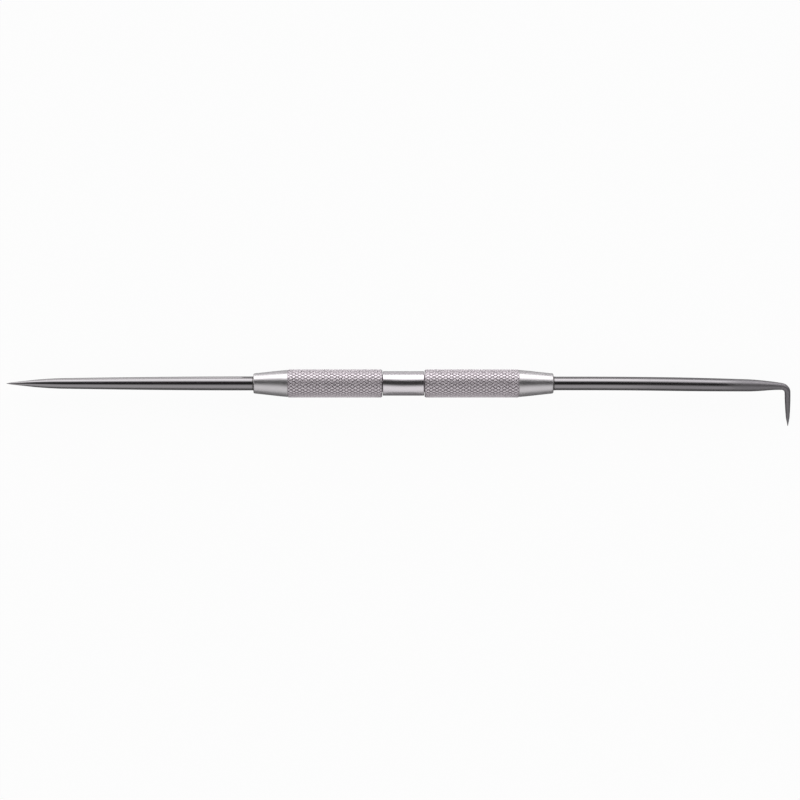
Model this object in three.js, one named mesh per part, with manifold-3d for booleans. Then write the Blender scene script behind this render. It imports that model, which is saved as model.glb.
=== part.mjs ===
// Two-point scriber: a straight point and a hooked point, each held in a knurled chuck barrel that
// screws on to one spindle. Millimetres, +Z up. The tool lies as it does on a bench, on its two knurls
// and on the tip of the hook. X runs along it, with the straight point towards -X and the hook towards
// +X, bent to -Y. The origin is on the bench, under the middle of the tool's outline.

import * as THREE from 'three';
import { mergeVertices } from 'three/addons/utils/BufferGeometryUtils.js';
import Module from 'manifold-3d';

// Rod that both points are ground from
const rodRadius = 2.0;

// Radial stack of one chuck, from the rod outwards
const rodClearance = 0.05;
const colletWall = 0.55;
const colletClearance = 0.08;
const threadStep = 0.32;
const threadClearance = 0.1;
const barrelWall = 0.72;
const knurlDepth = 0.34;

// Knurl: two crossed sets of helical grooves with the same number of starts
const knurlStarts = 26;
const knurlPitch = 1.675;
const knurlPitches = 16;

// Barrel, from its inner end to its nose
const barrelMouthChamfer = 0.25;
const threadMargin = 0.75;
const knurlRunout = 0.3;
const knurlRunoutRise = 0.14;
const coneShoulderLength = 1.9;
const coneShoulderDrop = 0.16;
const coneLength = 7.5;
const noseChamfer = 0.25;
const noseLipLength = 0.9;
const noseLipWidth = 0.37;
const noseGap = 0.25;
const seatHalfAngle = THREE.MathUtils.degToRad(15);

// Spindle: the band that shows between the barrels, and a spigot and pilot towards each end
const bandRadius = 3.5;
const bandLength = 11.9;
const bandChamfer = 0.15;
const jointGap = 0.3;
const reliefLength = 0.9;
const reliefDepth = 0.3;
const spigotLength = 10.15;
const spigotChamfer = 0.3;
const pilotLength = 6.8;
const pilotChamfer = 0.3;
const pilotClearance = 0.13;

// Collet: a split sleeve whose closed ring is at its rear
const colletEndGap = 0.05;
const colletRingLength = 6;
const colletChamfer = 0.15;
const slitWidth = 0.4;

// Points: how far each stands out of its nose, and the gap behind its shank
const shankGap = 0.3;
const shankChamfer = 0.25;
const straightExposedLength = 70.9;
const bentExposedLength = 68.05;

// Straight point: a short nib, a ground cone, a shoulder, and a slow taper that ends a little before
// the nose. A cut is how far the grinding goes below the full rod.
const straightTipRadius = 0.04;
const straightNibLength = 1.2;
const straightNibRadius = 0.27;
const straightConeLength = 7;
const straightConeCut = 0.95;
const straightShoulderLength = 9;
const straightShoulderCut = 0.47;
const straightParallelLength = 4.5;

// Hooked point: a ground cone at the tip, a slim leg, and a neck that swells up to the rod
const hookTipRadius = 0.08;
const hookConeLength = 2.6;
const hookConeRadius = 0.53;
const legLength = 6.4;
const legRadius = 0.83;
const neckLength = 14.5;
const neckCut = 0.25;
const hookTaperLength = 20;
const hookRodCut = 0.05;
const hookDepth = 12.85;
const hookBendRadius = 1.9;

// How the tapers ease off: 1 is a straight cone, and more settles sooner
const taperEase = 1.65;

// The hooked point droops a little towards the hook, and curves over a short way before the bend. Its
// leg stands open a little more than square.
const droopLength = 30;
const droopToBendLength = 24.5;
const droopAngle = THREE.MathUtils.degToRad(1);
const bendEaseLength = 3.5;
const bendEaseAngle = THREE.MathUtils.degToRad(5);
const legLean = THREE.MathUtils.degToRad(1.6);

// Facets
const knurlColumns = 2 * knurlStarts;
const spindleSides = 36;
const colletSides = 32;
const pointSides = 24;
const taperRows = 8;
const neckRows = 20;

// Sizes that follow from the ones above
const colletBoreRadius = rodRadius + rodClearance;
const colletRadius = colletBoreRadius + colletWall;
const barrelBoreRadius = colletRadius + colletClearance;
const threadBoreRadius = barrelBoreRadius + threadStep;
const spigotRadius = threadBoreRadius - threadClearance;
const pilotRadius = barrelBoreRadius - pilotClearance;
const knurlRootRadius = threadBoreRadius + barrelWall;
const knurlCrestRadius = knurlRootRadius + knurlDepth;
const noseHoleRadius = rodRadius + noseGap;
const knurlLength = knurlPitch * knurlPitches;
const barrelLength = knurlLength + knurlRunout + coneShoulderLength + coneLength + noseChamfer;
const seatLength = (barrelBoreRadius - noseHoleRadius) / Math.tan(seatHalfAngle);
const barrelStart = bandLength / 2 + jointGap;
const noseFace = barrelStart + barrelLength;
const colletStart = bandLength / 2 + spigotLength + pilotLength + colletEndGap;
const seatStart = noseFace - noseLipLength - seatLength;
const shankStart = colletStart - colletEndGap + shankGap;

function metal(color, roughness) {
  return new THREE.MeshStandardMaterial({ color, roughness, metalness: 1 });
}

const barrelPlate = metal(0xc6c6c2, 0.32);
const spindlePlate = metal(0xd2d2cf, 0.14);
const pointSteel = metal(0x85888a, 0.16);
const colletSteel = metal(0x6c6e70, 0.4);

// A solid of revolution about X. The profile is a list of [distance along X, radius], outer side
// first and towards +X, and it ends on the axis or where it began.
function turned(profile, sides) {
  const outline = profile.map(([along, radius]) => new THREE.Vector2(radius, along));
  const geometry = new THREE.LatheGeometry(outline, sides);
  geometry.rotateZ(-Math.PI / 2);
  return geometry;
}

// Bare triangles with shared corners, with the empty ones at the axis left out
function welded(geometry) {
  const bare = geometry.clone();
  bare.deleteAttribute('normal');
  bare.deleteAttribute('uv');
  const merged = mergeVertices(bare, 1e-4);
  const kept = [];
  const corners = merged.index.array;
  for (let i = 0; i < corners.length; i += 3) {
    const [a, b, c] = corners.slice(i, i + 3);
    if (a !== b && b !== c && c !== a) kept.push(a, b, c);
  }
  merged.setIndex(kept);
  return merged;
}

const wasm = await Module();
wasm.setup();

function toSolid(geometry) {
  const shape = welded(geometry);
  const vertProperties = new Float32Array(shape.attributes.position.array);
  const triVerts = new Uint32Array(shape.index.array);
  return new wasm.Manifold(new wasm.Mesh({ numProp: 3, vertProperties, triVerts }));
}

function toGeometry(solid) {
  const mesh = solid.getMesh();
  const geometry = new THREE.BufferGeometry();
  geometry.setAttribute('position', new THREE.BufferAttribute(new Float32Array(mesh.vertProperties), 3));
  geometry.setIndex(Array.from(mesh.triVerts));
  geometry.computeVertexNormals();
  return geometry;
}

// Presses a diamond knurl into the first rows of a turned blank. Where two grooves cross, a vertex
// drops to the root and its neighbours stay as crests. Every face is split along its groove, so each
// diamond is a pyramid of four faces.
function knurled(blank, rows, rowCount) {
  const place = blank.attributes.position;
  const sink = knurlRootRadius / knurlCrestRadius;
  for (let column = 0; column <= knurlColumns; column++) {
    for (let row = column % 2; row <= rows; row += 2) {
      const vertex = column * rowCount + row;
      place.setY(vertex, place.getY(vertex) * sink);
      place.setZ(vertex, place.getZ(vertex) * sink);
    }
  }
  const corners = [];
  for (let column = 0; column < knurlColumns; column++) {
    for (let row = 0; row < rowCount - 1; row++) {
      const a = column * rowCount + row;
      const b = a + rowCount;
      const grooveRunsFromA = row < rows && (column + row) % 2 === 0;
      if (grooveRunsFromA) corners.push(a, b, b + 1, a, b + 1, a + 1);
      else corners.push(a, b, a + 1, b, b + 1, a + 1);
    }
  }
  blank.setIndex(corners);
  return blank;
}

// Chuck barrel: knurled grip, tapered nose, and inside it the thread bore, the collet's bore and the
// cone that closes the collet
function barrelGeometry() {
  const rows = 2 * knurlPitches;
  const coneStart = knurlLength + knurlRunout;
  const coneRadius = knurlRootRadius + knurlRunoutRise;
  const threadBoreEnd = spigotLength - jointGap + threadMargin;
  const seatEnd = barrelLength - noseLipLength;
  const profile = [];
  for (let row = 0; row <= rows; row++) profile.push([(knurlLength * row) / rows, knurlCrestRadius]);
  profile.push([coneStart, coneRadius]);
  profile.push([coneStart + coneShoulderLength, coneRadius - coneShoulderDrop]);
  profile.push([barrelLength - noseChamfer, noseHoleRadius + noseLipWidth + noseChamfer]);
  profile.push([barrelLength, noseHoleRadius + noseLipWidth]);
  profile.push([barrelLength, noseHoleRadius]);
  profile.push([seatEnd, noseHoleRadius]);
  profile.push([seatEnd - seatLength, barrelBoreRadius]);
  profile.push([threadBoreEnd + threadStep, barrelBoreRadius]);
  profile.push([threadBoreEnd, threadBoreRadius]);
  profile.push([barrelMouthChamfer, threadBoreRadius]);
  profile.push([0, threadBoreRadius + barrelMouthChamfer]);
  profile.push(profile[0]);
  const geometry = knurled(turned(profile, knurlColumns), rows, profile.length);
  // The first row is also the last one of the closed profile, so it takes the same zigzag
  const place = geometry.attributes.position;
  for (let column = 0; column <= knurlColumns; column++) {
    const first = column * profile.length;
    const last = first + profile.length - 1;
    place.setXYZ(last, place.getX(first), place.getY(first), place.getZ(first));
  }
  return geometry.rotateX(Math.PI / knurlColumns);
}

// One end of the spindle, from the band's middle outwards: half the band, the thread spigot with its
// relief groove, and the pilot that pushes the collet
function spindleEnd() {
  const shoulder = bandLength / 2;
  const spigotEnd = shoulder + spigotLength;
  const pilotEnd = spigotEnd + pilotLength;
  return [
    [shoulder - bandChamfer, bandRadius],
    [shoulder, bandRadius - bandChamfer],
    [shoulder, spigotRadius - reliefDepth],
    [shoulder + reliefLength, spigotRadius - reliefDepth],
    [shoulder + reliefLength + reliefDepth, spigotRadius],
    [spigotEnd - spigotChamfer, spigotRadius],
    [spigotEnd, spigotRadius - spigotChamfer],
    [spigotEnd, pilotRadius],
    [pilotEnd - pilotChamfer, pilotRadius],
    [pilotEnd, pilotRadius - pilotChamfer],
    [pilotEnd, 0],
  ];
}

function spindleGeometry() {
  const hookEnd = spindleEnd();
  const straightEnd = hookEnd.map(([along, radius]) => [-along, radius]).reverse();
  return turned([...straightEnd, ...hookEnd], spindleSides);
}

// Collet: a thin sleeve with a coned front, slit crosswise from the front as far as its rear ring
function colletGeometry() {
  const front = seatStart + seatLength - colletStart - colletClearance;
  const coneLengthOnCollet = (colletRadius - noseHoleRadius) / Math.tan(seatHalfAngle);
  const profile = [
    [0, colletRadius - colletChamfer],
    [colletChamfer, colletRadius],
    [front - coneLengthOnCollet, colletRadius],
    [front, noseHoleRadius],
    [front, colletBoreRadius],
    [0, colletBoreRadius],
    [0, colletRadius - colletChamfer],
  ];
  const slitLength = front - colletRingLength;
  const slit = new THREE.BoxGeometry(2 * slitLength, slitWidth, 3 * colletRadius);
  slit.translate(front, 0, 0);
  const crossSlit = slit.clone().rotateX(Math.PI / 2);
  const sleeve = toSolid(turned(profile, colletSides));
  return toGeometry(sleeve.subtract(toSolid(slit)).subtract(toSolid(crossSlit)));
}

const straight = (share) => share;
const settling = (share) => 1 - (1 - share) ** taperEase;
const swelling = (share) => THREE.MathUtils.smoothstep(share, 0, 1);

// A point as a straight blank: the shank's end at 0 and the tip towards +X. Its runs are listed from
// the tip, each with a length, the radius that it grows to and the way that it grows there.
function pointBlank(length, tipRadius, runs) {
  const fromTip = [[0, 0], [0, tipRadius]];
  let start = 0;
  let startRadius = tipRadius;
  for (const run of runs) {
    for (let row = 1; row <= run.rows; row++) {
      const share = row / run.rows;
      const radius = THREE.MathUtils.lerp(startRadius, run.radius, run.shape(share));
      fromTip.push([start + share * run.length, radius]);
    }
    start += run.length;
    startRadius = run.radius;
  }
  const towardsTip = fromTip.map(([distance, radius]) => [length - distance, radius]).reverse();
  const shank = [
    [0, 0],
    [0, rodRadius - shankChamfer],
    [shankChamfer, rodRadius],
  ];
  return turned([...shank, ...towardsTip], pointSides);
}

function straightPointGeometry() {
  const coneRadius = rodRadius - straightConeCut;
  const shoulderRadius = rodRadius - straightShoulderCut;
  const shaped = straightNibLength + straightConeLength + straightShoulderLength + straightParallelLength;
  return pointBlank(noseFace + straightExposedLength - shankStart, straightTipRadius, [
    { length: straightNibLength, radius: straightNibRadius, shape: straight, rows: 1 },
    { length: straightConeLength, radius: coneRadius, shape: straight, rows: 1 },
    { length: straightShoulderLength, radius: shoulderRadius, shape: settling, rows: 4 },
    { length: straightExposedLength - shaped, radius: rodRadius, shape: settling, rows: taperRows },
  ]);
}

// The hooked point's centreline in its own plane, as runs of a length and a turn towards -Y
function hookCentreline() {
  const easeHeading = droopAngle + bendEaseAngle;
  const legHeading = Math.PI / 2 - legLean;
  const droopRadius = droopLength / droopAngle;
  const easeRadius = bendEaseLength / bendEaseAngle;
  const legPlace = noseFace + bentExposedLength - legRadius - shankStart;
  const bendStart = legPlace - hookBendRadius * (Math.sin(legHeading) - Math.sin(easeHeading));
  const easeStart = bendStart - easeRadius * (Math.sin(easeHeading) - Math.sin(droopAngle));
  const droopEnd = easeStart - droopToBendLength * Math.cos(droopAngle);
  const droopStart = droopEnd - droopRadius * Math.sin(droopAngle);
  const droopDrop = droopRadius * (1 - Math.cos(droopAngle)) + droopToBendLength * Math.sin(droopAngle);
  const easeDrop = easeRadius * (Math.cos(droopAngle) - Math.cos(easeHeading));
  const bendDrop = hookBendRadius * (Math.cos(easeHeading) - Math.cos(legHeading));
  const bendAngle = legHeading - easeHeading;
  return [
    { length: droopStart, turn: 0 },
    { length: droopLength, turn: droopAngle },
    { length: droopToBendLength, turn: 0 },
    { length: bendEaseLength, turn: bendEaseAngle },
    { length: hookBendRadius * bendAngle, turn: bendAngle },
    { length: (hookDepth - droopDrop - easeDrop - bendDrop) / Math.sin(legHeading), turn: 0 },
  ];
}

// The place and heading at a distance along the runs
function walk(runs, distance) {
  let x = 0;
  let y = 0;
  let heading = 0;
  let left = distance;
  for (const { length, turn } of runs) {
    const step = Math.min(left, length);
    const angle = turn * (step / length);
    if (turn > 0) {
      const radius = length / turn;
      x += radius * (Math.sin(heading + angle) - Math.sin(heading));
      y -= radius * (Math.cos(heading) - Math.cos(heading + angle));
    } else {
      x += step * Math.cos(heading);
      y -= step * Math.sin(heading);
    }
    heading += angle;
    left -= step;
    if (left <= 0) break;
  }
  return { x, y, heading };
}

// The hooked point: a straight blank, bent so that each of its rings stays square to the centreline
function bentPointGeometry() {
  const runs = hookCentreline();
  const length = runs.reduce((sum, run) => sum + run.length, 0);
  const shankLength = noseFace - noseLipLength - shankStart;
  const hookRodRadius = rodRadius - hookRodCut;
  const shaped = hookConeLength + legLength + neckLength + hookTaperLength + noseLipLength;
  const geometry = pointBlank(length, hookTipRadius, [
    { length: hookConeLength, radius: hookConeRadius, shape: straight, rows: 1 },
    { length: legLength, radius: legRadius, shape: settling, rows: 4 },
    { length: neckLength, radius: rodRadius - neckCut, shape: swelling, rows: neckRows },
    { length: hookTaperLength, radius: hookRodRadius, shape: settling, rows: taperRows },
    { length: length - shankLength - shaped, radius: hookRodRadius, shape: straight, rows: 1 },
    { length: noseLipLength, radius: rodRadius, shape: straight, rows: 1 },
  ]);
  const place = geometry.attributes.position;
  for (let vertex = 0; vertex < place.count; vertex++) {
    const { x, y, heading } = walk(runs, place.getX(vertex));
    const across = place.getY(vertex);
    place.setX(vertex, x + across * Math.sin(heading));
    place.setY(vertex, y + across * Math.cos(heading));
  }
  return geometry;
}

function piece(name, geometry, material, along = 0) {
  const mesh = new THREE.Mesh(geometry, material);
  mesh.name = name;
  mesh.position.x = along;
  return mesh;
}

// One end of the tool: barrel, collet and point on the +X side
function chuckEnd(barrelName, colletName, pointName, pointGeometry) {
  const end = new THREE.Group();
  end.add(piece(barrelName, barrelGeometry(), barrelPlate, barrelStart));
  end.add(piece(colletName, colletGeometry(), colletSteel, colletStart));
  end.add(piece(pointName, pointGeometry, pointSteel, shankStart));
  return end;
}

const scriber = new THREE.Group();
scriber.add(piece('centre_spindle', spindleGeometry(), spindlePlate));

const straightEnd = chuckEnd('straight_barrel', 'straight_collet', 'straight_point', straightPointGeometry());
straightEnd.rotation.z = Math.PI;
scriber.add(straightEnd);

const hookEnd = chuckEnd('hook_barrel', 'hook_collet', 'bent_point', bentPointGeometry());
scriber.add(hookEnd);

// The knurls rest on a facet between two crests, and the hook leans down until the edge of its tip
// meets the same bench
const axisHeight = knurlCrestRadius * Math.cos(Math.PI / knurlColumns);
const tipDistance = Math.hypot(hookDepth, hookTipRadius);
const hookLean = Math.asin(axisHeight / tipDistance) - Math.atan2(hookTipRadius, hookDepth);
hookEnd.getObjectByName('bent_point').rotation.x = hookLean;

// The origin moves from the middle of the band to the bench, under the middle of the outline
const bounds = new THREE.Box3().setFromObject(scriber, true);
const middle = bounds.getCenter(new THREE.Vector3());
scriber.position.set(-middle.x, -middle.y, -bounds.min.z);

export default scriber;
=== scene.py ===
import math

import bpy
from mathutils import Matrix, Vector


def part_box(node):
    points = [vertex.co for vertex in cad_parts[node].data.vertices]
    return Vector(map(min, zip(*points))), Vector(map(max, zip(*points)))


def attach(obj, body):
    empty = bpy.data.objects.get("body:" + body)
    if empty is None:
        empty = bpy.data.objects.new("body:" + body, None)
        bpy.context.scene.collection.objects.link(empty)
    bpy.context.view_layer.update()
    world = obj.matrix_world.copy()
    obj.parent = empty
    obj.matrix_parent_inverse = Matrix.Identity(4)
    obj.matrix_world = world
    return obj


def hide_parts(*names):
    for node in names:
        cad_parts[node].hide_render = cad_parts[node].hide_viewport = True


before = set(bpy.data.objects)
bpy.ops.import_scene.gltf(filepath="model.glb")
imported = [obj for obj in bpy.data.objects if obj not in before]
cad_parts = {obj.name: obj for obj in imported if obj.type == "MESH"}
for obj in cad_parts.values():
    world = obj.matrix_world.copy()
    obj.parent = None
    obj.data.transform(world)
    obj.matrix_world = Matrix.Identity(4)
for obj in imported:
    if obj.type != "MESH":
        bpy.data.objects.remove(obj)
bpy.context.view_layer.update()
bpy.ops.object.select_all(action="DESELECT")


# Centre spindle: one bar of steel, turned to a plain band in the middle, with a 6 mm thread of
# 0.75 mm pitch and a smooth pilot towards each end. It is nickel plated, and both barrels screw
# on to it.
mm = 0.001
spindle_low, spindle_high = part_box("centre_spindle")
tool_middle = (spindle_low + spindle_high) / 2
fine_sides = 104

band_half = 5.95 * mm
band_radius = 3.5 * mm
band_chamfer = 0.15 * mm
relief_length = 0.9 * mm
relief_radius = 2.5 * mm
thread_root = 2.56 * mm
thread_crest = 2.95 * mm
thread_pitch = 0.75 * mm
thread_turns = 11
thread_steps = 48
ridge_gap = 0.1 * mm
ridge_sink = 0.04 * mm
ridge_width = 0.72 * thread_pitch
spigot_end = band_half + 10.15 * mm
pilot_end = spigot_end + 6.8 * mm
pilot_radius = 2.55 * mm
pilot_chamfer = 0.3 * mm
spindle_edge_break = 0.03 * mm
band_tone = (0.744, 0.705, 0.738)


def turned(name, profile, sides=fine_sides):
    # A turned piece: a circle that is drawn out along X, from each rim of the profile to the next
    along, radius = profile[0]
    quarter_turn = math.pi / 2
    bpy.ops.mesh.primitive_circle_add(
        vertices=sides, radius=radius, location=(along, 0, 0), rotation=(0, quarter_turn, 0)
    )
    piece = bpy.context.object
    piece.name = name
    piece.data.name = name
    bpy.ops.object.transform_apply(location=True, rotation=True, scale=True)
    bpy.ops.object.mode_set(mode="EDIT")
    bpy.ops.mesh.select_all(action="SELECT")
    for next_along, next_radius in profile[1:]:
        step = (next_along - along, 0, 0)
        growth = next_radius / radius
        bpy.ops.mesh.extrude_region_move(TRANSFORM_OT_translate={"value": step})
        bpy.ops.transform.resize(value=(1, growth, growth), center_override=(0, 0, 0))
        along, radius = next_along, next_radius
    bpy.ops.object.mode_set(mode="OBJECT")
    return piece


def close_ends(piece):
    # Fills the open ends of the active piece, and turns its faces outwards
    bpy.context.view_layer.objects.active = piece
    bpy.ops.object.mode_set(mode="EDIT")
    bpy.ops.mesh.select_all(action="DESELECT")
    bpy.ops.mesh.select_mode(type="EDGE")
    bpy.ops.mesh.select_non_manifold()
    bpy.ops.mesh.fill_holes(sides=0)
    bpy.ops.mesh.select_all(action="SELECT")
    bpy.ops.mesh.normals_make_consistent(inside=False)
    bpy.ops.object.mode_set(mode="OBJECT")


def soften_edges(piece, width):
    # Breaks the sharp edges, as a stroke of a fine file does
    bevel = piece.modifiers.new("edge_break", "BEVEL")
    bevel.width = width
    bevel.segments = 2
    bevel.limit_method = "ANGLE"
    bevel.angle_limit = math.radians(28)
    bevel.use_clamp_overlap = True
    bpy.ops.object.modifier_apply(modifier=bevel.name)


def join_to(piece, *others):
    bpy.ops.object.select_all(action="DESELECT")
    for other in others:
        other.select_set(True)
    piece.select_set(True)
    bpy.context.view_layer.objects.active = piece
    bpy.ops.object.join()


def set_on_axis(piece, along):
    # Moves a piece that was made about X to the tool's axis, with its start at a place along it
    piece.location = (along, tool_middle.y, tool_middle.z)
    bpy.ops.object.select_all(action="DESELECT")
    piece.select_set(True)
    bpy.context.view_layer.objects.active = piece
    bpy.ops.object.transform_apply(location=True, rotation=True, scale=True)


def smooth(piece, angle):
    bpy.ops.object.select_all(action="DESELECT")
    piece.select_set(True)
    bpy.context.view_layer.objects.active = piece
    bpy.ops.object.shade_smooth_by_angle(angle=math.radians(angle))
    bpy.ops.object.select_all(action="DESELECT")


half_profile = [
    (band_half - band_chamfer, band_radius),
    (band_half, band_radius - band_chamfer),
    (band_half, relief_radius),
    (band_half + relief_length, relief_radius),
    (band_half + relief_length, thread_root),
    (spigot_end, thread_root),
    (spigot_end, pilot_radius),
    (pilot_end - pilot_chamfer, pilot_radius),
    (pilot_end, pilot_radius - pilot_chamfer),
]
other_half = [(-along, radius) for along, radius in reversed(half_profile)]
spindle = turned("spindle_bar", other_half + half_profile)
soften_edges(spindle, spindle_edge_break)
close_ends(spindle)

ridges = []
for heading in (1, -1):
    # The thread's ridge: a small triangle, wound along the spigot
    bpy.ops.mesh.primitive_circle_add(vertices=3, radius=1)
    ridge = bpy.context.object
    flank = ridge.data.vertices
    start = heading * (band_half + relief_length + ridge_gap)
    flank[0].co = (start, 0, thread_root - ridge_sink)
    flank[1].co = (start + heading * ridge_width / 2, 0, thread_crest)
    flank[2].co = (start + heading * ridge_width, 0, thread_root - ridge_sink)
    wind = ridge.modifiers.new("wind", "SCREW")
    wind.axis = "X"
    wind.steps = thread_steps
    wind.render_steps = thread_steps
    wind.iterations = thread_turns
    wind.screw_offset = heading * thread_pitch
    wind.angle = heading * 2 * math.pi
    bpy.ops.object.modifier_apply(modifier=wind.name)
    close_ends(ridge)
    ridges.append(ridge)
join_to(spindle, *ridges)
set_on_axis(spindle, tool_middle.x)
smooth(spindle, angle=30)

# Fine rings that turning and grinding leave round a piece, and the slow change in how well it is
# polished. Rings sets how close they lie.
lathe_marks = bpy.data.node_groups.new("lathe_marks", "ShaderNodeTree")
lathe_marks.interface.new_socket(name="Rings", in_out="INPUT", socket_type="NodeSocketFloat")
lathe_marks.interface.new_socket(name="Height", in_out="OUTPUT", socket_type="NodeSocketFloat")
lathe_marks.interface.new_socket(name="Polish", in_out="OUTPUT", socket_type="NodeSocketFloat")
group_in = lathe_marks.nodes.new("NodeGroupInput")
group_out = lathe_marks.nodes.new("NodeGroupOutput")
place = lathe_marks.nodes.new("ShaderNodeTexCoord")
round_the_bar = lathe_marks.nodes.new("ShaderNodeMapping")
drawn_out = 0.02
round_the_bar.inputs["Scale"].default_value = (1, drawn_out, drawn_out)
rings = lathe_marks.nodes.new("ShaderNodeTexNoise")
rings.inputs["Detail"].default_value = 3
patches = lathe_marks.nodes.new("ShaderNodeTexNoise")
patches.inputs["Scale"].default_value = 160
patches.inputs["Detail"].default_value = 4
lathe_marks.links.new(place.outputs["Object"], round_the_bar.inputs["Vector"])
lathe_marks.links.new(round_the_bar.outputs["Vector"], rings.inputs["Vector"])
lathe_marks.links.new(group_in.outputs["Rings"], rings.inputs["Scale"])
lathe_marks.links.new(place.outputs["Object"], patches.inputs["Vector"])
lathe_marks.links.new(rings.outputs["Fac"], group_out.inputs["Height"])
lathe_marks.links.new(patches.outputs["Fac"], group_out.inputs["Polish"])

# Hair-fine scratches from the bench and the hand, in two slanting directions
scratch_slants = (28, -41)
scratch_tilt = (0.3, 0.2)
scratches_along = 90
scratches_across = 5200
scratch_full = 0.82
hair_scratches = bpy.data.node_groups.new("hair_scratches", "ShaderNodeTree")
hair_scratches.interface.new_socket(name="Density", in_out="INPUT", socket_type="NodeSocketFloat")
hair_scratches.interface.new_socket(name="Scratch", in_out="OUTPUT", socket_type="NodeSocketFloat")
group_in = hair_scratches.nodes.new("NodeGroupInput")
group_out = hair_scratches.nodes.new("NodeGroupOutput")
place = hair_scratches.nodes.new("ShaderNodeTexCoord")
both_ways = hair_scratches.nodes.new("ShaderNodeMath")
both_ways.operation = "MAXIMUM"
for number, degrees in enumerate(scratch_slants):
    slant = hair_scratches.nodes.new("ShaderNodeMapping")
    slant.inputs["Rotation"].default_value = (*scratch_tilt, math.radians(degrees))
    slant.inputs["Scale"].default_value = (scratches_along, scratches_across, scratches_across)
    streaks = hair_scratches.nodes.new("ShaderNodeTexNoise")
    streaks.inputs["Scale"].default_value = 1
    streaks.inputs["Detail"].default_value = 1
    kept = hair_scratches.nodes.new("ShaderNodeMapRange")
    kept.interpolation_type = "SMOOTHSTEP"
    kept.inputs["To Min"].default_value = 0
    kept.inputs["To Max"].default_value = 1
    kept.inputs["From Max"].default_value = scratch_full
    hair_scratches.links.new(place.outputs["Object"], slant.inputs["Vector"])
    hair_scratches.links.new(slant.outputs["Vector"], streaks.inputs["Vector"])
    hair_scratches.links.new(streaks.outputs["Fac"], kept.inputs["Value"])
    hair_scratches.links.new(group_in.outputs["Density"], kept.inputs["From Min"])
    hair_scratches.links.new(kept.outputs["Result"], both_ways.inputs[number])
hair_scratches.links.new(both_ways.outputs["Value"], group_out.inputs["Scratch"])


def metal(name, colour, roughness, uneven, ring_count, ring_depth):
    # Bare or plated metal with its turning rings, scratches and uneven polish
    scratch_dullness = 0.12
    scratch_depth = -0.6
    finish = bpy.data.materials.new(name)
    finish.use_nodes = True
    nodes, links = finish.node_tree.nodes, finish.node_tree.links
    surface = nodes["Principled BSDF"]
    surface.inputs["Base Color"].default_value = (*colour, 1)
    surface.inputs["Metallic"].default_value = 1
    marks = nodes.new("ShaderNodeGroup")
    marks.node_tree = lathe_marks
    marks.name = "marks"
    marks.inputs["Rings"].default_value = ring_count
    hairs = nodes.new("ShaderNodeGroup")
    hairs.node_tree = hair_scratches
    hairs.name = "hairs"
    hairs.inputs["Density"].default_value = 0.7
    polish = nodes.new("ShaderNodeMapRange")
    polish.name = "polish"
    polish.inputs["From Min"].default_value = 0.3
    polish.inputs["From Max"].default_value = 0.7
    polish.inputs["To Min"].default_value = roughness - uneven
    polish.inputs["To Max"].default_value = roughness + uneven
    dulled = nodes.new("ShaderNodeMath")
    dulled.name = "dulled"
    dulled.operation = "MULTIPLY_ADD"
    dulled.inputs[1].default_value = scratch_dullness
    depth = nodes.new("ShaderNodeMath")
    depth.operation = "MULTIPLY_ADD"
    depth.inputs[1].default_value = scratch_depth
    bump = nodes.new("ShaderNodeBump")
    bump.inputs["Strength"].default_value = 1
    bump.inputs["Distance"].default_value = ring_depth
    links.new(marks.outputs["Polish"], polish.inputs["Value"])
    links.new(hairs.outputs["Scratch"], dulled.inputs[0])
    links.new(polish.outputs["Result"], dulled.inputs[2])
    links.new(dulled.outputs["Value"], surface.inputs["Roughness"])
    links.new(hairs.outputs["Scratch"], depth.inputs[0])
    links.new(marks.outputs["Height"], depth.inputs[2])
    links.new(depth.outputs["Value"], bump.inputs["Height"])
    links.new(bump.outputs["Normal"], surface.inputs["Normal"])
    return finish


band_plate = metal(
    "band_plate", band_tone, roughness=0.21, uneven=0.03, ring_count=5200, ring_depth=0.0006 * mm
)
spindle.data.materials.append(band_plate)
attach(spindle, "spindle")
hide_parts("centre_spindle")


# Collets: two split sleeves of spring steel, one round each point's shank, slit crosswise from the
# front and left oiled inside the barrels. They are the CAD's own solids, which need a finish only.
collet_tone = (0.3, 0.3, 0.31)
collet_steel = metal(
    "collet_steel", collet_tone, roughness=0.34, uneven=0.05, ring_count=3800, ring_depth=0.001 * mm
)
for collet_name in ("straight_collet", "hook_collet"):
    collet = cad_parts[collet_name]
    for face_slot in collet.material_slots:
        face_slot.material = collet_steel


# Knurled barrels: two chuck sleeves, turned and bored, with a diamond knurl round the grip and a
# long cone at the nose. Both are nickel plated. The same sleeve, turned round, serves both ends.
knurl_starts = 26
knurl_pitch = 1.675 * mm
knurl_pitches = 16
knurl_length = knurl_pitch * knurl_pitches
knurl_root = 3.82 * mm
knurl_round = 2 * math.pi * knurl_root
tooth_width = knurl_round / knurl_starts
groove_half = 0.02 * mm
flank_run = 0.1 * mm
flank_rise = 0.2 * mm
crest_run = 0.03 * mm
crest_rise = 0.025 * mm
half_tooth_share = 0.6
least_tooth_area = 0.3 * mm * mm
weld_distance = 0.002 * mm
rim_tolerance = 0.001 * mm
rim_cuts = 3

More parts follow.
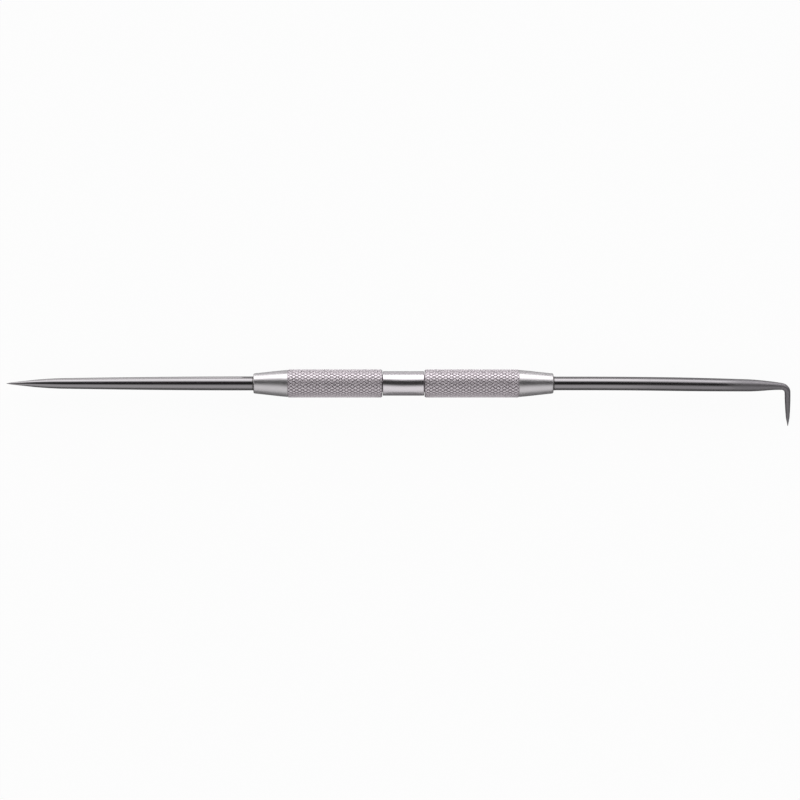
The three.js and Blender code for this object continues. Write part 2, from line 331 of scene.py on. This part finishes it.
knurl_runout = 0.3 * mm
cone_start = knurl_length + knurl_runout
cone_radius = 3.86 * mm
cone_shoulder = cone_start + 1.9 * mm
cone_shoulder_radius = 3.7 * mm
barrel_end = 36.75 * mm
nose_chamfer = 0.25 * mm
nose_radius = 2.62 * mm
nose_hole = 2.25 * mm
seat_end = 35.85 * mm
seat_start = 34.245 * mm
collet_bore = 2.68 * mm
thread_bore = 3.0 * mm
thread_bore_end = 10.6 * mm
thread_bore_cone = 0.32 * mm
mouth_chamfer = 0.25 * mm
mouth_lip = 0.17 * mm
lip_chamfer = 0.05 * mm
sleeve_edge_break = 0.04 * mm
joint_gap = 0.3 * mm
plate_tone = (0.634, 0.611, 0.627)
# Painted shade down in the knurl's grooves
groove_shade_tone = (0.48, 0.444, 0.466)
crest_tone = (0.78, 0.725, 0.762)


def repeat_along(piece, count, step):
    # Repeats the active piece a number of times, a step apart
    repeat = piece.modifiers.new("repeat", "ARRAY")
    repeat.count = count
    repeat.use_relative_offset = False
    repeat.use_constant_offset = True
    repeat.constant_offset_displace = step
    bpy.ops.object.modifier_apply(modifier=repeat.name)


def weld():
    # Joins the corners of the active piece that lie on each other
    bpy.ops.object.mode_set(mode="EDIT")
    bpy.ops.mesh.select_all(action="SELECT")
    bpy.ops.mesh.remove_doubles(threshold=weld_distance)
    bpy.ops.object.mode_set(mode="OBJECT")


# One row of whole teeth, and one row half a tooth on, whose ends the knurl's ends cut through
whole_row = (knurl_pitch / 2, knurl_pitches, 0)
cut_row = (0, knurl_pitches + 1, tooth_width / 2)
rows = []
for row_start, row_count, across in (whole_row, cut_row):
    bpy.ops.mesh.primitive_circle_add(
        vertices=4, radius=1, fill_type="NGON", rotation=(math.pi / 2, 0, 0)
    )
    tooth = bpy.context.object
    tooth.scale = (knurl_pitch / 2, tooth_width / 2, 1)
    tooth.location = (row_start, 0, across)
    bpy.ops.object.transform_apply(location=True, rotation=True, scale=True)
    repeat_along(tooth, row_count, (knurl_pitch, 0, 0))
    rows.append(tooth)
barrel = rows[0]
join_to(barrel, rows[1])
bpy.ops.object.mode_set(mode="EDIT")
bpy.ops.mesh.select_mode(type="FACE")
for cut_at, outwards in ((0, -1), (knurl_length, 1)):
    bpy.ops.mesh.select_all(action="SELECT")
    bpy.ops.mesh.bisect(plane_co=(cut_at, 0, 0), plane_no=(outwards, 0, 0), clear_outer=True)
bpy.ops.object.mode_set(mode="OBJECT")
weld()


def raise_teeth(piece, corners, run_share):
    # Cuts the V grooves round the teeth that have this many corners, and flattens their crests
    bpy.ops.object.mode_set(mode="EDIT")
    bpy.ops.mesh.select_all(action="DESELECT")
    bpy.ops.object.mode_set(mode="OBJECT")
    for face in piece.data.polygons:
        face.select = len(face.vertices) == corners and face.area > least_tooth_area
    bpy.ops.object.mode_set(mode="EDIT")
    bpy.ops.mesh.inset(thickness=groove_half, depth=0, use_individual=True)
    bpy.ops.mesh.inset(thickness=flank_run * run_share, depth=flank_rise, use_individual=True)
    bpy.ops.mesh.inset(thickness=crest_run * run_share, depth=crest_rise, use_individual=True)
    bpy.ops.object.mode_set(mode="OBJECT")


raise_teeth(barrel, corners=3, run_share=half_tooth_share)
raise_teeth(barrel, corners=4, run_share=1)


def select_rims(piece, *places):
    # Selects the edges that lie on the rims at these places along X
    bpy.ops.object.mode_set(mode="EDIT")
    bpy.ops.mesh.select_mode(type="EDGE")
    bpy.ops.mesh.select_all(action="DESELECT")
    bpy.ops.object.mode_set(mode="OBJECT")
    for edge in piece.data.edges:
        ends = [piece.data.vertices[number].co.x for number in edge.vertices]
        distances = [max(abs(end - place) for end in ends) for place in places]
        edge.select = min(distances) < rim_tolerance
    bpy.ops.object.mode_set(mode="EDIT")


# The rims are divided, so that they roll to round ones
select_rims(barrel, 0, knurl_length)
bpy.ops.mesh.subdivide(number_cuts=rim_cuts)
bpy.ops.object.mode_set(mode="OBJECT")
repeat_along(barrel, knurl_starts, (0, 0, tooth_width))
barrel.location = (0, 0, -knurl_round / 2)
bpy.ops.object.transform_apply(location=True, rotation=True, scale=True)
weld()

# The flat sheet of teeth is half a tooth wider than the round, and is rolled up that much further
roll = barrel.modifiers.new("roll", "SIMPLE_DEFORM")
roll.deform_method = "BEND"
roll.deform_axis = "X"
roll.angle = 2 * math.pi * (knurl_starts + 0.5) / knurl_starts
bpy.ops.object.modifier_apply(modifier=roll.name)
barrel.location = (0, -knurl_root, 0)
bpy.ops.object.transform_apply(location=True, rotation=True, scale=True)
weld()

sleeve = turned("sleeve", [
    (cone_start, cone_radius),
    (cone_shoulder, cone_shoulder_radius),
    (barrel_end - nose_chamfer, nose_radius + nose_chamfer),
    (barrel_end, nose_radius),
    (barrel_end, nose_hole),
    (seat_end, nose_hole),
    (seat_start, collet_bore),
    (thread_bore_end + thread_bore_cone, collet_bore),
    (thread_bore_end, thread_bore),
    (mouth_chamfer - mouth_lip, thread_bore),
    (-mouth_lip, thread_bore + mouth_chamfer),
    (-mouth_lip, knurl_root - lip_chamfer),
    (lip_chamfer - mouth_lip, knurl_root),
])
soften_edges(sleeve, sleeve_edge_break)
join_to(barrel, sleeve)
for rims in ((0, lip_chamfer - mouth_lip), (knurl_length, cone_start)):
    select_rims(barrel, *rims)
    bpy.ops.mesh.bridge_edge_loops()
    bpy.ops.object.mode_set(mode="OBJECT")
bpy.ops.object.mode_set(mode="EDIT")
bpy.ops.mesh.select_all(action="SELECT")
bpy.ops.mesh.normals_make_consistent(inside=False)
bpy.ops.object.mode_set(mode="OBJECT")
barrel.name = "hook_end_barrel"
barrel.data.name = "hook_end_barrel"

other_barrel = barrel.copy()
other_barrel.data = barrel.data.copy()
other_barrel.name = "straight_end_barrel"
bpy.context.collection.objects.link(other_barrel)
other_barrel.rotation_euler.z = math.pi
barrel_gap = band_half + joint_gap
set_on_axis(barrel, tool_middle.x + barrel_gap)
set_on_axis(other_barrel, tool_middle.x - barrel_gap)

# The plating is dull in the knurl. Its grooves are painted darker as painted shade, and its crests
# are lighter where hands keep them bright
satin_overrun = 0.05 * mm
satin_end = barrel_gap + cone_start + satin_overrun
satin_fade = 0.2 * mm
satin_dullness = 0.17
barrel_plate = metal(
    "barrel_plate", plate_tone, roughness=0.35, uneven=0.03, ring_count=5200, ring_depth=0.0008 * mm
)
nodes, links = barrel_plate.node_tree.nodes, barrel_plate.node_tree.links
surface = nodes["Principled BSDF"]
place = nodes.new("ShaderNodeTexCoord")
from_axis = nodes.new("ShaderNodeMapping")
from_axis.inputs["Location"].default_value = (0, -tool_middle.y, -tool_middle.z)
from_axis.inputs["Scale"].default_value = (0, 1, 1)
from_axis.vector_type = "POINT"
radius_there = nodes.new("ShaderNodeVectorMath")
radius_there.operation = "LENGTH"
links.new(place.outputs["Object"], from_axis.inputs["Vector"])
links.new(from_axis.outputs["Vector"], radius_there.inputs[0])
crest = nodes.new("ShaderNodeMapRange")
crest.interpolation_type = "SMOOTHSTEP"
crest.inputs["From Min"].default_value = knurl_root
crest.inputs["From Max"].default_value = knurl_root + flank_rise + crest_rise
links.new(radius_there.outputs["Value"], crest.inputs["Value"])
split = nodes.new("ShaderNodeSeparateXYZ")
links.new(place.outputs["Object"], split.inputs["Vector"])
from_middle = nodes.new("ShaderNodeMath")
from_middle.operation = "SUBTRACT"
from_middle.inputs[1].default_value = tool_middle.x
links.new(split.outputs["X"], from_middle.inputs[0])
each_way = nodes.new("ShaderNodeMath")
each_way.operation = "ABSOLUTE"
links.new(from_middle.outputs["Value"], each_way.inputs[0])
in_knurl = nodes.new("ShaderNodeMapRange")
in_knurl.inputs["From Min"].default_value = satin_end
in_knurl.inputs["From Max"].default_value = satin_end - satin_fade
links.new(each_way.outputs["Value"], in_knurl.inputs["Value"])
# Painted shade: the colour darkens from the crests down into the grooves
tooth_shading = nodes.new("ShaderNodeMix")
tooth_shading.data_type = "RGBA"
tooth_shading.inputs["A"].default_value = (*groove_shade_tone, 1)
tooth_shading.inputs["B"].default_value = (*crest_tone, 1)
links.new(crest.outputs["Result"], tooth_shading.inputs["Factor"])
plate_colour = nodes.new("ShaderNodeMix")
plate_colour.data_type = "RGBA"
plate_colour.inputs["A"].default_value = (*plate_tone, 1)
links.new(in_knurl.outputs["Result"], plate_colour.inputs["Factor"])
links.new(tooth_shading.outputs["Result"], plate_colour.inputs["B"])
links.new(plate_colour.outputs["Result"], surface.inputs["Base Color"])
satin = nodes.new("ShaderNodeMath")
satin.operation = "MULTIPLY_ADD"
satin.inputs[1].default_value = satin_dullness
links.new(in_knurl.outputs["Result"], satin.inputs[0])
links.new(nodes["dulled"].outputs["Value"], satin.inputs[2])
links.new(satin.outputs["Value"], surface.inputs["Roughness"])
for piece, end in ((barrel, "hook_barrel"), (other_barrel, "straight_barrel")):
    piece.data.materials.append(barrel_plate)
    smooth(piece, angle=24)
    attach(piece, end)
    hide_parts(end)


# Straight point: hardened tool-steel rod, ground to a slow taper, a rounded shoulder and a short
# needle cone, and polished. Its plain shank sits in the collet.
rod_radius = 2 * mm
shank_chamfer = 0.25 * mm
shank_gap = 0.3 * mm
shank_start = pilot_end + shank_gap
point_sides = 96
straight_length = 90.7 * mm
needle_tip = 0.04 * mm
nib_length = 1.2 * mm
nib_radius = 0.27 * mm
needle_length = 7 * mm
needle_radius = 1.05 * mm
shoulder_length = 9 * mm
shoulder_radius = 1.53 * mm
taper_length = 49.2 * mm
taper_ease = 1.65
steel_tone = (0.298, 0.284, 0.295)
# Colour of the painted shade ring where the rod leaves the nose
nose_shade_tone = (0.11, 0.105, 0.1)


def run_of(start, length, start_radius, end_radius, rows, rises):
    # Rims from one radius to the next along a run, the way that rises says
    rims = []
    growth = end_radius - start_radius
    for row in range(1, rows + 1):
        share = row / rows
        rims.append((start + share * length, start_radius + growth * rises(share)))
    return rims


def settling(share):
    # Fast at first, then slower
    return 1 - (1 - share) ** taper_ease


def evenly(share):
    return share


def rounded_tip(radius):
    # The first rims of a point, which isn't quite sharp
    flat_share = 0.3
    round_share = 0.75
    return [(0, flat_share * radius), (flat_share * radius, round_share * radius), (radius, radius)]


def point_blank(name, length, from_tip):
    # A rod whose shank starts at 0, with its rims listed from the tip
    rims = [(length - distance, radius) for distance, radius in reversed(from_tip)]
    shank = [(0, rod_radius - shank_chamfer), (shank_chamfer, rod_radius)]
    blank = turned(name, shank + rims, sides=point_sides)
    close_ends(blank)
    return blank


shoulder_start = nib_length + needle_length
taper_start = shoulder_start + shoulder_length
needle = rounded_tip(needle_tip)
needle += run_of(needle_tip, nib_length - needle_tip, needle_tip, nib_radius, rows=2, rises=evenly)
needle += run_of(nib_length, needle_length, nib_radius, needle_radius, rows=4, rises=evenly)
needle += run_of(
    shoulder_start, shoulder_length, needle_radius, shoulder_radius, rows=12, rises=settling
)
needle += run_of(taper_start, taper_length, shoulder_radius, rod_radius, rows=24, rises=settling)
straight_point = point_blank("straight_needle", straight_length, needle)
straight_point.rotation_euler.z = math.pi
set_on_axis(straight_point, tool_middle.x - shank_start)
smooth(straight_point, angle=30)


def polished_steel(name, nose_at):
    # The points' steel, with a faint dark ring of painted shade just outside the edge of the nose,
    # where it is also duller
    ring_core = 0.1 * mm
    ring_reach = 0.5 * mm
    ring_dullness = 0.3
    steel = metal(
        name, steel_tone, roughness=0.15, uneven=0.03, ring_count=6500, ring_depth=0.0005 * mm
    )
    nodes, links = steel.node_tree.nodes, steel.node_tree.links
    place = nodes.new("ShaderNodeTexCoord")
    split = nodes.new("ShaderNodeSeparateXYZ")
    split.name = "place"
    links.new(place.outputs["Object"], split.inputs["Vector"])
    outwards = nodes.new("ShaderNodeMath")
    outwards.operation = "MULTIPLY_ADD"
    outwards.inputs[1].default_value = math.copysign(1, nose_at)
    outwards.inputs[2].default_value = -abs(nose_at)
    links.new(split.outputs["X"], outwards.inputs[0])
    from_nose = nodes.new("ShaderNodeMath")
    from_nose.operation = "ABSOLUTE"
    links.new(outwards.outputs["Value"], from_nose.inputs[0])
    # Painted shade: the steel darkens in a narrow ring at the nose's edge
    nose_shade = nodes.new("ShaderNodeMapRange")
    nose_shade.interpolation_type = "SMOOTHSTEP"
    nose_shade.inputs["From Min"].default_value = ring_reach
    nose_shade.inputs["From Max"].default_value = ring_core
    links.new(from_nose.outputs["Value"], nose_shade.inputs["Value"])
    nose_shaded = nodes.new("ShaderNodeMix")
    nose_shaded.name = "nose_shaded"
    nose_shaded.data_type = "RGBA"
    nose_shaded.inputs["A"].default_value = (*steel_tone, 1)
    nose_shaded.inputs["B"].default_value = (*nose_shade_tone, 1)
    links.new(nose_shade.outputs["Result"], nose_shaded.inputs["Factor"])
    links.new(nose_shaded.outputs["Result"], nodes["Principled BSDF"].inputs["Base Color"])
    matt = nodes.new("ShaderNodeMath")
    matt.name = "matt"
    matt.operation = "MULTIPLY_ADD"
    matt.inputs[1].default_value = ring_dullness
    links.new(nose_shade.outputs["Result"], matt.inputs[0])
    links.new(nodes["dulled"].outputs["Value"], matt.inputs[2])
    links.new(matt.outputs["Value"], nodes["Principled BSDF"].inputs["Roughness"])
    return steel


nose_from_middle = barrel_gap + barrel_end
point_steel = polished_steel("point_steel", tool_middle.x - nose_from_middle)
straight_point.data.materials.append(point_steel)
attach(straight_point, "straight_point")
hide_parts("straight_point")


# Hooked point: the same rod, ground thin towards its end, drooped a little and bent nearly square
# on a small radius. It was heated to be bent and hardened, which tinted its outer half and left the
# hook dull.
hook_tip = 0.08 * mm
hook_cone_length = 2.6 * mm
hook_cone_radius = 0.53 * mm
leg_length = 6.4 * mm
leg_radius = 0.83 * mm
neck_length = 14.5 * mm
neck_radius = 1.75 * mm
hook_taper_length = 20 * mm
hook_rod_radius = 1.95 * mm
hook_depth = 12.85 * mm
outer_edge = 87.849 * mm
nose_lip = 0.9 * mm
lip_at = 19.8 * mm
heat_tone = (0.246, 0.234, 0.247)

# The way its middle line goes: a long droop, a straight, a short curve, the bend, and the leg
droop_length = 30 * mm
droop_to_bend = 24.5 * mm
droop_angle = math.radians(1)
ease_length = 3.5 * mm
ease_angle = math.radians(5)
bend_radius = 1.9 * mm
leg_lean = math.radians(1.6)
ease_heading = droop_angle + ease_angle
leg_heading = math.pi / 2 - leg_lean
bend_angle = leg_heading - ease_heading
droop_radius = droop_length / droop_angle
ease_radius = ease_length / ease_angle

bend_reach = bend_radius * (math.sin(leg_heading) - math.sin(ease_heading))
ease_reach = ease_radius * (math.sin(ease_heading) - math.sin(droop_angle))
straight_reach = droop_to_bend * math.cos(droop_angle)
droop_reach = droop_radius * math.sin(droop_angle)
droop_start = outer_edge - leg_radius - bend_reach - ease_reach - straight_reach - droop_reach
ease_start = droop_start + droop_length + droop_to_bend
bend_start = ease_start + ease_length
leg_start = bend_start + bend_radius * bend_angle
leg_top = droop_radius * (1 - math.cos(droop_angle)) + droop_to_bend * math.sin(droop_angle)
leg_top += ease_radius * (math.cos(droop_angle) - math.cos(ease_heading))
leg_top += bend_radius * (math.cos(ease_heading) - math.cos(leg_heading))
hook_length = leg_start + (hook_depth - leg_top) / math.sin(leg_heading)


def swelling(share):
    # Slow at both ends, and fast between
    return share * share * (3 - 2 * share)


# The neck has the most rims, because the whole bend lies in it
neck_start = hook_cone_length + leg_length
taper_start = neck_start + neck_length
taper_end = taper_start + hook_taper_length
lip_start = hook_length - lip_at - nose_lip
plain_length = lip_start - taper_end
hook = rounded_tip(hook_tip)
hook += run_of(
    hook_tip, hook_cone_length - hook_tip, hook_tip, hook_cone_radius, rows=3, rises=evenly
)
hook += run_of(
    hook_cone_length, leg_length, hook_cone_radius, leg_radius, rows=16, rises=settling
)
hook += run_of(neck_start, neck_length, leg_radius, neck_radius, rows=70, rises=swelling)
hook += run_of(
    taper_start, hook_taper_length, neck_radius, hook_rod_radius, rows=16, rises=settling
)
hook += run_of(
    taper_end, plain_length, hook_rod_radius, hook_rod_radius, rows=10, rises=evenly
)
hook += run_of(lip_start, nose_lip, hook_rod_radius, rod_radius, rows=1, rises=evenly)
hooked_point = point_blank("hooked_needle", hook_length, hook)


def bend_down(piece, start, length, angle):
    # Bends the piece towards -Y by an angle, over a length that starts at a place along X
    piece.location.x = -start
    bpy.ops.object.transform_apply(location=True, rotation=True, scale=True)
    places = [corner[0] for corner in piece.bound_box]
    low, high = min(places), max(places)
    bend = piece.modifiers.new("bend", "SIMPLE_DEFORM")
    bend.deform_method = "BEND"
    bend.deform_axis = "Z"
    bend.angle = -angle
    bend.limits = (-low / (high - low), (length - low) / (high - low))
    bpy.ops.object.modifier_apply(modifier=bend.name)
    piece.location.x = start
    bpy.ops.object.transform_apply(location=True, rotation=True, scale=True)


bend_down(hooked_point, bend_start, bend_radius * bend_angle, bend_angle)
bend_down(hooked_point, ease_start, ease_length, ease_angle)
bend_down(hooked_point, droop_start, droop_length, droop_angle)

# The tool rests on its grips and on the hook's tip, so the point is turned until the tip is down
tip_distance = math.hypot(hook_depth, hook_tip)
tip_slope = math.asin(tool_middle.z / tip_distance)
hooked_point.rotation_euler.x = tip_slope - math.atan2(hook_tip, hook_depth)
set_on_axis(hooked_point, tool_middle.x + shank_start)
smooth(hooked_point, angle=30)

# A tint and a light haze from half-way along, and a dull skin on the hook, with an uneven edge
tint_starts = 62 * mm
tint_full = 82 * mm
tint_haze = 0.1
skin_starts = 92.5 * mm
skin_full = 101 * mm
skin_dullness = 0.28
edge_shift = 3 * mm
hooked_steel = polished_steel("hooked_point_steel", tool_middle.x + nose_from_middle)
nodes, links = hooked_steel.node_tree.nodes, hooked_steel.node_tree.links
place = nodes.new("ShaderNodeTexCoord")
uneven_edge = nodes.new("ShaderNodeTexNoise")
uneven_edge.inputs["Scale"].default_value = 260
uneven_edge.inputs["Detail"].default_value = 3
links.new(place.outputs["Object"], uneven_edge.inputs["Vector"])
shifted = nodes.new("ShaderNodeMath")
shifted.operation = "MULTIPLY_ADD"
shifted.inputs[1].default_value = edge_shift
links.new(uneven_edge.outputs["Fac"], shifted.inputs[0])
links.new(nodes["place"].outputs["X"], shifted.inputs[2])
tint = nodes.new("ShaderNodeMapRange")
tint.interpolation_type = "SMOOTHSTEP"
tint.inputs["From Min"].default_value = tint_starts
tint.inputs["From Max"].default_value = tint_full
links.new(shifted.outputs["Value"], tint.inputs["Value"])
skin = nodes.new("ShaderNodeMapRange")
skin.interpolation_type = "SMOOTHSTEP"
skin.inputs["From Min"].default_value = skin_starts
skin.inputs["From Max"].default_value = skin_full
links.new(shifted.outputs["Value"], skin.inputs["Value"])
tempered = nodes.new("ShaderNodeMix")
tempered.data_type = "RGBA"
tempered.inputs["A"].default_value = (*steel_tone, 1)
tempered.inputs["B"].default_value = (*heat_tone, 1)
links.new(tint.outputs["Result"], tempered.inputs["Factor"])
links.new(tempered.outputs["Result"], nodes["nose_shaded"].inputs["A"])
hazed = nodes.new("ShaderNodeMath")
hazed.operation = "MULTIPLY_ADD"
hazed.inputs[1].default_value = tint_haze
links.new(tint.outputs["Result"], hazed.inputs[0])
links.new(nodes["matt"].outputs["Value"], hazed.inputs[2])
dull = nodes.new("ShaderNodeMath")
dull.operation = "MULTIPLY_ADD"
dull.inputs[1].default_value = skin_dullness
links.new(skin.outputs["Result"], dull.inputs[0])
links.new(hazed.outputs["Value"], dull.inputs[2])
links.new(dull.outputs["Value"], nodes["Principled BSDF"].inputs["Roughness"])
hooked_point.data.materials.append(hooked_steel)
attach(hooked_point, "bent_point")
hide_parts("bent_point")


# Bench: a plain pale sheet of paper that the tool lies on. The camera sees it nearly white, with the
# tool's faint shadow, and the metal mirrors it as the grey that it has in this light.
bench_size = 8
mirrored_grey = 0.42
seen_grey_more = 0.5
seen_white_share = 0.95
mirrored_white_share = 0.03
bpy.ops.mesh.primitive_plane_add(size=bench_size)
bench = bpy.context.object
bench.name = "bench"
bench_sheet = bpy.data.materials.new("bench_sheet")
bench_sheet.use_nodes = True
nodes, links = bench_sheet.node_tree.nodes, bench_sheet.node_tree.links
nodes.remove(nodes["Principled BSDF"])
paper = nodes.new("ShaderNodeBsdfDiffuse")
glow = nodes.new("ShaderNodeEmission")
glow.inputs["Color"].default_value = (1, 1, 1, 1)
rays = nodes.new("ShaderNodeLightPath")
paleness = nodes.new("ShaderNodeMath")
paleness.operation = "MULTIPLY_ADD"
paleness.inputs[1].default_value = seen_grey_more
paleness.inputs[2].default_value = mirrored_grey
links.new(rays.outputs["Is Camera Ray"], paleness.inputs[0])
links.new(paleness.outputs["Value"], paper.inputs["Color"])
seen = nodes.new("ShaderNodeMath")
seen.operation = "MAXIMUM"
links.new(rays.outputs["Is Camera Ray"], seen.inputs[0])
links.new(rays.outputs["Is Transmission Ray"], seen.inputs[1])
seen_white = nodes.new("ShaderNodeMath")
seen_white.operation = "MULTIPLY"
seen_white.inputs[1].default_value = seen_white_share
links.new(seen.outputs["Value"], seen_white.inputs[0])
mirrored_white = nodes.new("ShaderNodeMath")
mirrored_white.operation = "MULTIPLY_ADD"
mirrored_white.inputs[1].default_value = mirrored_white_share
links.new(rays.outputs["Is Glossy Ray"], mirrored_white.inputs[0])
links.new(seen_white.outputs["Value"], mirrored_white.inputs[2])
whitened = nodes.new("ShaderNodeMixShader")
links.new(mirrored_white.outputs["Value"], whitened.inputs["Fac"])
links.new(paper.outputs["BSDF"], whitened.inputs[1])
links.new(glow.outputs["Emission"], whitened.inputs[2])
links.new(whitened.outputs["Shader"], nodes["Material Output"].inputs["Surface"])
bench.data.materials.append(bench_sheet)


# Studio: a bright soft wall beyond the tool, a dimmer one in front of it, and a dark ceiling. The
# walls arch over towards the tool's ends and stand a little askew, and their edges fade, as those of
# large lit sheets do. Angles are in degrees from straight up, and grow towards the far side.
far_wall_starts = 17.5
far_wall_full = 62
far_wall_strength = 2.6
far_wall_dims = 64
far_wall_foot = 90
far_foot_share = 0.69
near_wall_starts = -9.5
near_wall_full = -42.5
near_wall_strength = 0.85
near_wall_dims = -62
near_wall_foot = -90
near_foot_share = 0.8
walls_arch = -28
walls_askew = 10.5
ends_start = 0.7
ends_full = 0.97
ends_share = 0.2
ceiling_strength = 0.035

sky = bpy.data.worlds.new("studio")
bpy.context.scene.world = sky
sky.use_nodes = True
nodes, links = sky.node_tree.nodes, sky.node_tree.links


def between(value, start, end, low, high):
    # A smooth step from low to high as a value goes from start to end
    step = nodes.new("ShaderNodeMapRange")
    step.interpolation_type = "SMOOTHSTEP"
    step.inputs["From Min"].default_value = start
    step.inputs["From Max"].default_value = end
    step.inputs["To Min"].default_value = low
    step.inputs["To Max"].default_value = high
    links.new(value, step.inputs["Value"])
    return step.outputs["Result"]


def by_angle(start, end, low, high):
    return between(angle, math.radians(start), math.radians(end), low, high)


direction = nodes.new("ShaderNodeTexCoord")
split = nodes.new("ShaderNodeSeparateXYZ")
links.new(direction.outputs["Generated"], split.inputs["Vector"])
lean = nodes.new("ShaderNodeMath")
lean.operation = "ARCTAN2"
links.new(split.outputs["Y"], lean.inputs[0])
links.new(split.outputs["Z"], lean.inputs[1])
towards_ends = nodes.new("ShaderNodeMath")
towards_ends.operation = "ABSOLUTE"
links.new(split.outputs["X"], towards_ends.inputs[0])
arched = nodes.new("ShaderNodeMath")
arched.operation = "MULTIPLY_ADD"
arched.inputs[1].default_value = math.radians(walls_arch)
links.new(towards_ends.outputs["Value"], arched.inputs[0])
links.new(lean.outputs["Value"], arched.inputs[2])
askew = nodes.new("ShaderNodeMath")
askew.operation = "MULTIPLY_ADD"
askew.inputs[1].default_value = math.radians(walls_askew)
links.new(split.outputs["X"], askew.inputs[0])
links.new(arched.outputs["Value"], askew.inputs[2])
angle = askew.outputs["Value"]
far_wall = by_angle(far_wall_starts, far_wall_full, 0, far_wall_strength)
far_foot = by_angle(far_wall_dims, far_wall_foot, 1, far_foot_share)
near_wall = by_angle(near_wall_starts, near_wall_full, 0, near_wall_strength)
near_foot = by_angle(near_wall_dims, near_wall_foot, 1, near_foot_share)
walls = nodes.new("ShaderNodeMath")
walls.operation = "ADD"
for number, (wall, foot) in enumerate(((far_wall, far_foot), (near_wall, near_foot))):
    dimmed = nodes.new("ShaderNodeMath")
    dimmed.operation = "MULTIPLY"
    links.new(wall, dimmed.inputs[0])
    links.new(foot, dimmed.inputs[1])
    links.new(dimmed.outputs["Value"], walls.inputs[number])
ends_dim = between(towards_ends.outputs["Value"], ends_start, ends_full, 1, ends_share)
fade = nodes.new("ShaderNodeMath")
fade.operation = "MULTIPLY"
links.new(walls.outputs["Value"], fade.inputs[0])
links.new(ends_dim, fade.inputs[1])
lit = nodes.new("ShaderNodeMath")
lit.operation = "ADD"
lit.inputs[1].default_value = ceiling_strength
links.new(fade.outputs["Value"], lit.inputs[0])
rays = nodes.new("ShaderNodeLightPath")
shown = nodes.new("ShaderNodeMix")
shown.data_type = "FLOAT"
links.new(rays.outputs["Is Camera Ray"], shown.inputs["Factor"])
links.new(lit.outputs["Value"], shown.inputs["A"])
shown.inputs["B"].default_value = 1
links.new(shown.outputs["Result"], nodes["Background"].inputs["Strength"])
nodes["Background"].inputs["Color"].default_value = (1, 1, 1, 1)


# Cards: pale sheets that lie just above the bench and throw light under the tool's edges. Two lie
# beyond it, the brighter one beside the straight point's rod, and a dim one in front of each grip.
card_width = 54 * mm
card_gap = 6 * mm
card_lift = 0.2 * mm
cards_end = 190 * mm
cards_meet = -46.5 * mm
grip_card_start = 8 * mm
grip_card_end = 31 * mm
beyond = 1
in_front = -1


def lay_card(name, side, start, end, glow):
    card_data = bpy.data.lights.new(name, "AREA")
    card_data.shape = "RECTANGLE"
    card_data.size = end - start
    card_data.size_y = card_width
    card_data.energy = glow * math.pi * card_data.size * card_width
    card = bpy.data.objects.new(name, card_data)
    bpy.context.collection.objects.link(card)
    card.location.x = tool_middle.x + (start + end) / 2
    card.location.y = tool_middle.y + side * (card_gap + card_width / 2)
    card.location.z = card_lift
    card.rotation_euler.x = math.pi
    card.visible_camera = False


lay_card("needle_side_card", beyond, -cards_end, cards_meet, glow=1.2)
lay_card("handle_and_hook_card", beyond, cards_meet, cards_end, glow=0.36)
lay_card("straight_grip_card", in_front, -grip_card_end, -grip_card_start, glow=0.36)
lay_card("hook_grip_card", in_front, grip_card_start, grip_card_end, glow=0.36)


# Camera: straight above the tool and far away, with the whole tool in the picture from edge to edge
camera_height = 1.6
picture_width = 229.45 * mm
film_width = 36
camera_right = 0.42 * mm
camera_near = 0.65 * mm
camera_data = bpy.data.cameras.new("camera")
camera_data.sensor_width = film_width
camera_data.lens = film_width * camera_height / picture_width
camera = bpy.data.objects.new("camera", camera_data)
bpy.context.collection.objects.link(camera)
camera.location = (camera_right, -camera_near, tool_middle.z + camera_height)
bpy.context.scene.camera = camera
bpy.context.scene.view_settings.view_transform = "Standard"
